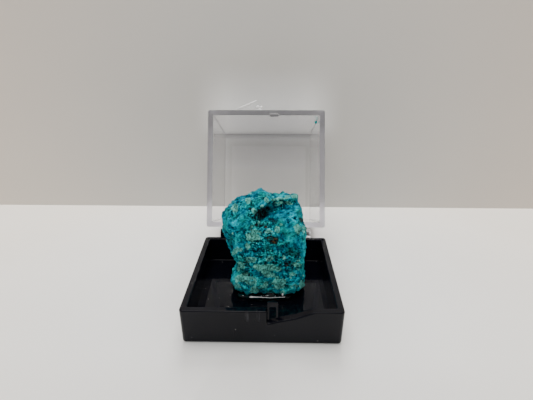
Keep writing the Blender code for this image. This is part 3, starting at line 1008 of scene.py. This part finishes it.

# %% [markdown]
# ## Colours of the specimen
#
# The colours follow the stone's build: pale green where a botryoid is cut, brown and rust in the
# pits. Deep teal in the crevices and brighter blue on the crests are partly the stone's colour and
# partly painted shade and light, and painted strokes darken some faces and lighten others. Each is
# painted as a mask on the mesh, a number from 0 to 1 at each point, and the material layers the
# colours by those masks.

# %% Paint strokes
# A 1 at the end makes a pale spot's middle duller than its rim.
PALE = (
    (-5.84, 23.93, 0.77, 0.89, 0.9, -20, 1), (-2.98, 25.58, 0.57, 0.68, 0.9),
    (-2.85, 27.08, 0.55, 0.22, 0.7, 10), (0.73, 25.77, 0.54, 0.62, 1, 0, 1),
    (1.24, 27.05, 0.38, 0.28, 0.6, 20), (3, 25.95, 1.3, 0.3, 1, 4), (4.9, 26.4, 0.8, 0.32, 1, 28),
    (6.48, 26.58, 0.81, 0.5, 0.9), (3.28, 25.23, 0.99, 0.35, 0.7), (5.3, 25.06, 0.82, 0.38, 0.8, -25),
    (2.85, 24.55, 0.55, 0.18, 0.6), (-0.2, 24.35, 0.6, 0.3, 0.9, 35), (-1.8, 23.25, 0.64, 0.56, 0.6, 20),
    (-2.14, 17.39, 1.52, 1.12, 0.95), (-1.56, 18.68, 1.16, 0.41, 0.7, -15),
    (2.93, 19.16, 0.6, 0.84, 1, 0, 1), (1.36, 18.62, 1, 0.3, 1, 5), (1.75, 17.99, 0.25, 0.32, 0.8),
    (3.8, 20.29, 0.28, 0.34, 0.7, 50), (7.17, 19.31, 0.65, 1.19, 0.85, 15),
    (8.35, 19, 0.52, 0.98, 0.8, 0, 1), (-2.48, 19.69, 0.35, 0.43, 0.7), (-1.03, 20.55, 0.2, 0.27, 0.7),
    (-3.34, 15.15, 0.5, 0.92, 1, 0, 1), (-6.02, 13.83, 0.61, 1.09, 0.8, -35),
    (-4.84, 14.21, 0.59, 0.6, 0.7), (-2.82, 11.84, 1.23, 0.8, 0.85, 0, 1),
    (-4.77, 10.52, 0.7, 1, 0.75, 30), (0.52, 9.89, 3.01, 0.81, 0.9, -3), (0.65, 8.5, 1.18, 0.82, 1, -15),
    (3.31, 9.61, 0.55, 0.75, 0.8, -50), (-5.49, 9.53, 0.36, 0.65, 0.8),
    (-4.9, 7.37, 0.94, 1.56, 0.95, -56), (-0.1, 5, 1.1, 0.45, 0.6), (3, 4.9, 1, 0.5, 0.6),
    (1.7, 8, 1.1, 0.7, 0.6), (6.9, 5.2, 0.8, 0.6, 0.6), (6.4, 8.4, 0.8, 0.6, 0.5),
    (-2.87, 6.54, 1.29, 1.1, 0.85, 0, 1), (0.47, 5.61, 0.61, 0.65, 0.95, -20),
    (-2.12, 4.14, 1.19, 1.05, 0.75, 20), (-5.86, 5.08, 1.23, 0.59, 0.55),
    (1.39, 12.16, 0.66, 0.9, 0.85, -40, 1), (4.48, 12.39, 0.49, 0.58, 0.85),
    (7.42, 11.81, 0.35, 0.28, 0.95), (7.3, 10.72, 1, 0.53, 0.9, -8, 1),
    (6.51, 8.35, 0.83, 0.34, 0.85, -5), (5.98, 7.44, 0.29, 0.18, 0.8), (3.61, 5.93, 1.59, 1.4, 1),
    (3.06, 7.45, 0.5, 0.38, 0.9), (8.55, 5.56, 0.73, 1.06, 0.95), (4.27, 3.53, 0.56, 0.57, 0.7),
    (3.36, 13.76, 0.19, 0.22, 0.9), (7.95, 12.55, 0.2, 0.18, 0.9), (8.82, 8.03, 0.2, 0.23, 0.9),
    (1.6, 14.19, 0.44, 0.18, 0.6), (7.52, 9.57, 0.49, 0.51, 0.45, 40), (-6.39, 18.14, 0.21, 0.33, 0.7),
)
# Dark pits, with painted shade in the scoop under the ridge and in the cracks.
PITS_AND_SHADE = (
    (-0.4, 22.8, 1.35, 1.2, 1, 32), (0.8, 23.9, 0.7, 0.45, 1, 10), (-2.6, 23.84, 0.47, 0.19, 0.95, 5),
    (-5.58, 21.66, 0.3, 0.22, 0.9), (-6.39, 22.4, 0.16, 0.24, 0.7), (-1.03, 20.1, 1.73, 0.33, 0.8, 5),
    (-2.67, 19.08, 0.42, 0.23, 0.8), (5.19, 22.87, 0.34, 0.28, 1), (2, 21.18, 1.3, 0.52, 0.7, -32),
    (7.92, 21.29, 0.33, 0.62, 1, 20), (1.59, 17.13, 1.32, 0.59, 0.8), (2.24, 16.39, 0.74, 0.75, 1, -30),
    (5.63, 11.75, 0.87, 0.27, 0.6), (5.06, 10.75, 0.52, 0.42, 1), (-0.45, 12.47, 0.38, 0.37, 1),
    (-0.92, 14.57, 0.64, 0.33, 0.8), (-4.73, 12.38, 0.33, 0.37, 0.7), (-3.62, 10.91, 0.71, 0.75, 0.55),
    (-3.83, 8.58, 1.1, 0.82, 0.6), (6.6, 13.47, 1.29, 0.61, 0.4, -25), (3.7, 9.49, 0.71, 0.38, 0.4, -40),
)
# Lighter stone and painted light, as along the right edge.
BRIGHT_AND_LIT = (
    (-5.92, 20.59, 0.6, 0.8, 1), (-3.17, 22.31, 0.65, 0.6, 0.8, 30), (-1.29, 24.42, 0.72, 0.3, 0.9, 20),
    (-2.62, 24.16, 0.75, 0.2, 0.7, 5), (-4.34, 25.65, 0.64, 0.34, 0.7, 20),
    (3.45, 27.07, 1.09, 0.27, 0.9), (6.22, 25.89, 0.68, 0.28, 0.7), (6.08, 22.19, 1.14, 0.36, 0.7, 8),
    (7.01, 23.92, 0.52, 0.55, 0.7), (5.9, 16.9, 1.3, 1.1, 0.7), (8.76, 12.45, 0.41, 4.04, 0.75),
    (-0.31, 11.46, 1.43, 0.35, 0.9), (-0.73, 5.49, 0.81, 0.86, 0.8, -20), (-5.8, 16.11, 0.27, 0.95, 0.8),
    (-6.14, 7.72, 0.69, 0.9, 0.8, -20), (6.56, 6.16, 1.26, 1.38, 0.7), (0.8, 26.93, 1.01, 0.54, 0.5),
    (-7.64, 21.88, 0.33, 2.04, 0.45), (3.3, 5.9, 1.3, 1, 0.7), (1.4, 7.4, 1, 0.5, 0.5),
    (3.6, 7.2, 1, 0.8, 0.6), (-5.2, 18.3, 1.1, 1.2, 0.6), (0.3, 24.8, 1.6, 0.4, 0.6),
    (3.2, 26.6, 1.6, 0.4, 0.6),
)
# Darker stone and painted shade, as on the left side.
DIM_AND_SHADED = (
    (-7.1, 16, 1.3, 3.4, 0.65, -8), (3.6, 23.2, 2.4, 1.5, 0.35), (6.8, 22.9, 1.4, 1.6, 0.25),
    (5.8, 13.4, 2.5, 1.2, 0.7, -5), (-3.74, 12.75, 1.3, 1.47, 0.7), (1.87, 13.29, 2.15, 1.95, 0.45),
    (7.35, 9.65, 1.53, 1.51, 0.35), (-3.97, 26.9, 0.71, 0.54, 0.3), (3.9, 21.2, 1.6, 1.2, 0.9),
    (-6.9, 21.6, 1.2, 1.6, 0.3), (3.6, 12.9, 1.6, 1, 0.9), (0.3, 18.3, 1.9, 0.9, 0.7),
    (5.6, 9.6, 1.2, 0.9, 0.8), (8, 18.5, 1, 1.2, 0.4),
)
RUST = (
    (2.3, 16.2, 0.5, 0.22, 1, -30), (2.5, 16.9, 0.45, 0.16, 0.7, -15), (0.6, 19.7, 0.3, 0.2, 0.9),
    (5.1, 10.4, 0.25, 0.2, 0.9), (1.2, 17.2, 0.5, 0.14, 0.5),
)


def keep(piece, name, values):
    """Stores a mask on the mesh."""
    layer = piece.data.attributes.new(name, "FLOAT", "POINT")
    layer.data.foreach_set("value", np.clip(values, 0, 1).astype(np.float32))

# %% Paint masks
fine = field(points, 0.7, 3, 50)
wide = fine + 0.8 * field(points, 1.7, 2, 55)
broad = soft_step(field(points, 3, 3, 60), 0.3, 0.9)
elsewhere = soft_step(field(points, 2.2, 4, 70), 0.38, 0.62) * (1 - front) * 0.8
surface = points_of(rock)
level = np.stack([neighbours_mean(rock, surface[:, i], 14) for i in range(3)], axis=1)
hollow = ((level - surface) * normals).sum(axis=1)
keep(rock, "pale", np.maximum(painted(PALE, wide * 0.35), elsewhere))
keep(rock, "dark", np.maximum(painted(PITS_AND_SHADE, wide * 0.3), 0.8 * cracks * grit))
keep(rock, "rust", painted(RUST, fine * 0.5))
keep(rock, "bright_and_lit", np.maximum(painted(BRIGHT_AND_LIT, fine * 0.4, 0.5, 1.5), broad * 0.5))
keep(rock, "dim_and_shaded", painted(DIM_AND_SHADED, fine * 0.4, 0.5, 1.5) * 0.75)
# This mask paints shade into the hollows and light onto the crests.
keep(rock, "hollow", soft_step(hollow, -0.12, 0.14))
keep(rock, "grit", grit)
print("masks painted on", len(points), "points")

# %% [markdown]
# The finish is built up like glazes. A tone made of clouds, blotches, grains and painted light and
# shade picks a colour from a blue ramp and a green one. Creases, painted shade in the gaps between
# grains, glints, pale spots, pits with painted shade, and rust are then laid over it, each by its
# mask. The patterns follow places in the stone, so they have no seams, as a texture laid on its
# unwrapped skin would have.

# %% Stone patterns
def mask(name):
    return node("Attribute", attribute_name=name).outputs["Fac"]


def crooked(where, per_metre, amount):
    """Places pushed about by noise, so that what is laid on them has crooked edges."""
    values = {"Vector": where, "Scale": per_metre, "Detail": 3}
    push = node("TexNoise", values).outputs["Color"]
    centred = {0: push, 1: (amount,) * 3, 2: (-amount / 2,) * 3}
    shifted = node("VectorMath", centred, operation="MULTIPLY_ADD").outputs[0]
    return node("VectorMath", {0: where, 1: shifted}, operation="ADD").outputs[0]


def grains(where, per_metre):
    """Each grain's own number, how far a place is from the gap beside it, and its domed height."""
    cells = cells_at(where, per_metre)
    gaps = cells_at(where, per_metre, "DISTANCE_TO_EDGE")
    return red_of(cells["Color"]), gaps["Distance"], cells["Distance"]


BLUE = (
    (0.2, (0, 0.01, 0.024)), (0.38, (0, 0.06, 0.105)), (0.51, (0, 0.157, 0.224)), (0.66, (0, 0.3, 0.396)),
    (0.86, (0.004, 0.51, 0.615)),
)
GREEN = (
    (0.2, (0, 0.014, 0.018)), (0.38, (0, 0.078, 0.084)), (0.51, (0, 0.18, 0.182)),
    (0.66, (0, 0.33, 0.325)), (0.86, (0.02, 0.58, 0.55)),
)
CREAM = (
    (0.22, (0.01, 0.065, 0.055)), (0.4, (0.062, 0.22, 0.18)), (0.55, (0.09, 0.37, 0.305)),
    (0.78, (0.21, 0.68, 0.56)),
)


def stone_tone(where, bent, own, fine, foot_light):
    """How light the stone is, about 0 to 1: broad clouds, blotches, grains, paint, painted light and
    shade.
    """
    grit = mask("grit")
    blotch = noise(bent, 620, 3, 0.55)
    cloud = noise(where, 260, 2)
    return total(
        foot_light,
        0.472,
        times(off_middle(blotch, 1), spread(grit, 0, 1, 0.4, 0.9)),
        off_middle(cloud, 0.35),
        times(off_middle(own, 0.45), grit),
        times(off_middle(fine, 1.3), spread(grit, 0, 1, 0.45, 1.9)),
        # Painted shade in hollows and painted light on crests, then the light and shade strokes.
        times(off_middle(mask("hollow"), -0.4), spread(grit, 0, 1, 0.4, 1)),
        times(mask("bright_and_lit"), 0.2),
        times(mask("dim_and_shaded"), -0.11),
        # Painted shade: darker on the top, which the light from above reaches most.
        spread(parts_of(where)[2], 0.018, 0.025, 0, -0.06),
    )

# %% Chrysocolla
def chrysocolla():
    made, shader = new_material("chrysocolla_crust")
    where = place()
    bent = crooked(where, 1500, 0.0007)
    own, gap, dome = grains(bent, 1500)
    fine = noise(where, 2700, 4, 0.65)
    grit = mask("grit")
    # Painted light: lighter towards the foot, where the tray's walls shade the stone.
    foot_light = spread(parts_of(where)[2], 0.01, 0.004, 0, 0.12)
    tone = stone_tone(where, bent, own, fine, foot_light)
    hue = spread(noise(where, 330, 3, 0.6), 0.42, 0.6)
    body = blend(hue, ramp(tone, BLUE), ramp(tone, GREEN))
    crease = reckon("ABSOLUTE", off_middle(noise(bent, 480, 3, 0.6), 1))
    creased = times(spread(crease, 0, 0.022, 0.65, 0), spread(grit, 0.1, 0.6, 0.35, 1))
    lined = blend(creased, body, (0, 0.03, 0.05))
    # Painted shade in the gaps between the grains.
    gap_shade = times(spread(gap, 0, 0.12, 0.75, 0), grit)
    split = blend(gap_shade, lined, (0, 0.012, 0.018))
    glint = times(spread(noise(where, 1900, 3, 0.6), 0.58, 0.66), grit, 0.95)
    specked = blend(glint, split, (0.07, 0.7, 0.74))
    cream = ramp(total(off_middle(fine, 1.6), off_middle(own, 0.3), foot_light, 0.5), CREAM)
    ragged = total(mask("pale"), off_middle(noise(bent, 1500, 3, 0.6), 1.3))
    pale = blend(spread(ragged, 0.32, 0.62, 0, 0.8), specked, cream)
    # Near black at the pits, and painted shade in the scoop and the cracks.
    pit_and_shade = times(mask("dark"), spread(fine, 0.66, 0.48, 0.55, 1))
    pitted_and_shaded = blend(pit_and_shade, pale, (0.009, 0.007, 0.008))
    rusty = times(mask("rust"), spread(fine, 0.44, 0.54))
    beady = times(grit, spread(mask("pale"), 0.2, 0.6, 1, 0.2))
    knobs = total(times(dome, beady, -1), fine, noise(where, 900, 3))
    fill_in(shader, {
        "Base Color": blend(rusty, pitted_and_shaded, (0.11, 0.06, 0.025)),
        "Roughness": spread(grit, 0, 1, 0.5, 0.75),
        "Normal": bumps(knobs, spread(grit, 0, 1, 0.35, 1), 0.00014),
        "Specular IOR Level": 0.012,
    })
    return made


smooth(rock, 180, False)
stone = chrysocolla()
coat(rock, stone)
dress(rock, "tray", "specimen")

# %% [markdown]
# ## Glue and crumb
#
# The specimen stands in a bead of clear hot glue that was pressed out round its foot. A last wisp of
# the same glue was pulled onto the lid's front edge and set there as a three-cornered film, and one
# crumb of the mineral sticks inside the lid. Each is pushed together from round lumps, rebuilt as
# one skin and smoothed, because melted glue has no edges.

# %% Lumps and threads
def lump(name, centre, radii):
    """A ball drawn out to three half sizes, in millimetres."""
    ball = {"segments": 32, "ring_count": 16, "radius": MM}
    return primitive("uv_sphere", name, location=metres(centre), scale=radii, **ball)


def thread(name, start, end, radius):
    """A round thread between two places, in millimetres."""
    line = Vector(end) - Vector(start)
    middle = (Vector(start) + Vector(end)) / 2 * MM
    turn = line.to_track_quat("Z", "Y").to_euler()
    sizes = {"vertices": 16, "radius": radius * MM, "depth": line.length * MM}
    return primitive("cylinder", name, location=middle, rotation=turn, **sizes)


def join(pieces):
    """Joins several pieces into the first."""
    select_only(pieces[0])
    for piece in pieces[1:]:
        piece.select_set(True)
    bpy.ops.object.join()
    return pieces[0]


def melt(pieces, size, rounds):
    """Makes one smooth skin of several shapes that overlap."""
    body = join(pieces)
    remesh(body, size)
    modify(body, "SMOOTH", factor=0.5, iterations=rounds)
    return body

# %% Glue finishes
def clear_glue(name, low, high):
    """Hot glue is clear but not clean: slightly clouded, with fine ripples where it was drawn."""
    made, shader = new_material(name)
    where = place()
    cloud = noise(where, 600, 3)
    fill_in(shader, {
        "Base Color": blend(spread(cloud, 0.3, 0.7), low, high),
        "Roughness": spread(cloud, 0.3, 0.7, 0.02, 0.07),
        "Normal": bumps(noise(where, 900, 3), 0.08, 0.0001),
        "Transmission Weight": 1,
        "IOR": 1.48,
        "Specular IOR Level": 1,
    })
    return made


def highlight_glue():
    """Painted highlight: white, nearly opaque glue for threads and drops that stand in for glints."""
    made, shader = new_material("highlight_glue")
    milk = noise(place(), 1500, 3)
    fill_in(shader, {
        "Base Color": blend(milk, (0.9, 0.9, 0.9), (1, 1, 1)),
        "Roughness": spread(milk, 0.3, 0.7, 0.1, 0.3),
        "Transmission Weight": 0.15,
        "IOR": 1.48,
        "Specular IOR Level": 0.8,
    })
    return made


bead_finish = clear_glue("clear_hot_glue", (0.55, 0.55, 0.57), (0.68, 0.68, 0.7))
film_finish = clear_glue("glue_film", (0.95, 0.95, 0.95), (1, 1, 1))
highlight_finish = highlight_glue()

# %% [markdown]
# The bead spreads under the stone and bulges in front of it. What would sink through the tray's
# floor is lifted onto it. A thin white string along the bead's front is a painted highlight for
# the line of light on the bead's edge.

# %% Glue bead
GLUE_LUMPS = (
    ((0.6, 0.4, 1.5), (6.6, 4.4, 1.2)), ((-4.6, -1.9, 1.6), (1.7, 1.5, 0.95)),
    ((5.2, -2.2, 1.6), (1.5, 1.3, 0.9)), ((0.7, -3.6, 2.2), (4.4, 0.6, 0.75)),
    ((1.6, -3.1, 2.5), (1.2, 0.6, 1.2)), ((4.4, -3.15, 2.7), (0.55, 0.5, 1)),
)
# The white string that paints the bead's highlight line, as (x, y, z), and each stretch's radius.
HIGHLIGHT_STRING = ((-3.1, -4.15, 2.72), (-0.9, -4.22, 2.74), (1.4, -4.25, 2.66), (4.9, -3.9, 2.64))
HIGHLIGHT_STRING_RADII = (0.1, 0.075, 0.06)
SKIN = 0.055

glue = melt([lump(f"glue_bead_{i}", *shape) for i, shape in enumerate(GLUE_LUMPS)], 0.16, 6)
spots = points_of(glue)
spots[:, 2] = np.maximum(spots[:, 2], FLOOR + 0.02)
move_points(glue, spots)
coat(glue, bead_finish)
# Painted highlight: the white string and its end lumps along the bead's front.
stretches = [thread("glue_highlight_string", *ends) for ends in zip(HIGHLIGHT_STRING, HIGHLIGHT_STRING[1:], HIGHLIGHT_STRING_RADII)]
ends = (
    lump("highlight_string_end", (-2.6, -4.15, 2.72), (0.5, 0.2, 0.2)),
    lump("highlight_string_drop", (4.3, -3.75, 3.2), (0.2, 0.2, 0.35)),
)
highlight_string = melt([*stretches, *ends], SKIN, 2)
coat(highlight_string, highlight_finish)
join([glue, highlight_string])
smooth(glue, 60, False)
dress(glue, "tray", "glue")

# %% [markdown]
# The wisp is a thread with a few drops at the lid's edge. The film between them is a flat block
# whose outer side is drawn in to a corner, because so thin a sheet would be lost in a remesh.

# %% Glue wisp
WISP_Z = 8.4


def wisp_film():
    """The thin three-cornered film between the thread and the lid's edge."""
    film = block("glue_wisp_film", (-7.2, -18.6, WISP_Z - 0.03), (-0.7, -15.95, WISP_Z + 0.03))
    edit(film)
    pick_faces(lambda at, way: way.y < -0.9)
    bpy.ops.transform.resize(value=(0.2, 1, 1))
    shift(1.4, 0, 0)
    leave()
    coat(film, film_finish)
    return film


threads = (
    thread("glue_wisp_thread", (-7.5, -16.75, WISP_Z), (-2.8, -18.75, WISP_Z), 0.2),
    thread("wisp_foot", (-8.5, -16.35, WISP_Z), (-7.2, -16.85, WISP_Z), 0.11),
)
drops = (
    lump("wisp_drop", (-2.4, -17, WISP_Z), (0.5, 0.5, 0.4)),
    lump("wisp_drop", (-1.35, -16.9, WISP_Z), (0.42, 0.45, 0.36)),
    lump("wisp_drop", (-1.8, -16.3, WISP_Z), (1, 0.35, 0.2)),
)
# The wisp's thread and drops are white: a painted highlight for the light they catch.
wisp = melt([*threads, *drops], SKIN, 2)
coat(wisp, highlight_finish)
join([wisp, wisp_film()])
swing(wisp)
smooth(wisp, 60, False)
dress(wisp, "lid", "glue_wisp")

# %% [markdown]
# The crumb is so small that a few melted lumps and a little noise are enough. It shares the
# specimen's finish, with two of its masks set to one value all over.

# %% Mineral crumb
CRUMB_GRAINS = (
    ((14, -13.8, 12.3), (0.36, 0.36, 0.45)), ((14.06, -14, 12), (0.16, 0.2, 0.17)),
    ((14.05, -14.1, 10.4), (0.12, 0.12, 0.3)), ((14.05, -14.2, 9.2), (0.09, 0.1, 0.25)),
)
crumb = melt([lump(f"mineral_crumb_{i}", *shape) for i, shape in enumerate(CRUMB_GRAINS)], 0.05, 1)
spots = points_of(crumb)
move_points(crumb, spots + normals_of(crumb) * (0.06 * field(spots, 0.25, 3, 80))[:, None])
# Both masks are set so that painted light makes the crumb lighter all over.
for name, value in (("hollow", 0.35), ("bright_and_lit", 0.9)):
    keep(crumb, name, np.full(len(spots), value))
swing(crumb)
smooth(crumb, 180, False)
coat(crumb, stone)
dress(crumb, "lid", "mineral_crumb")
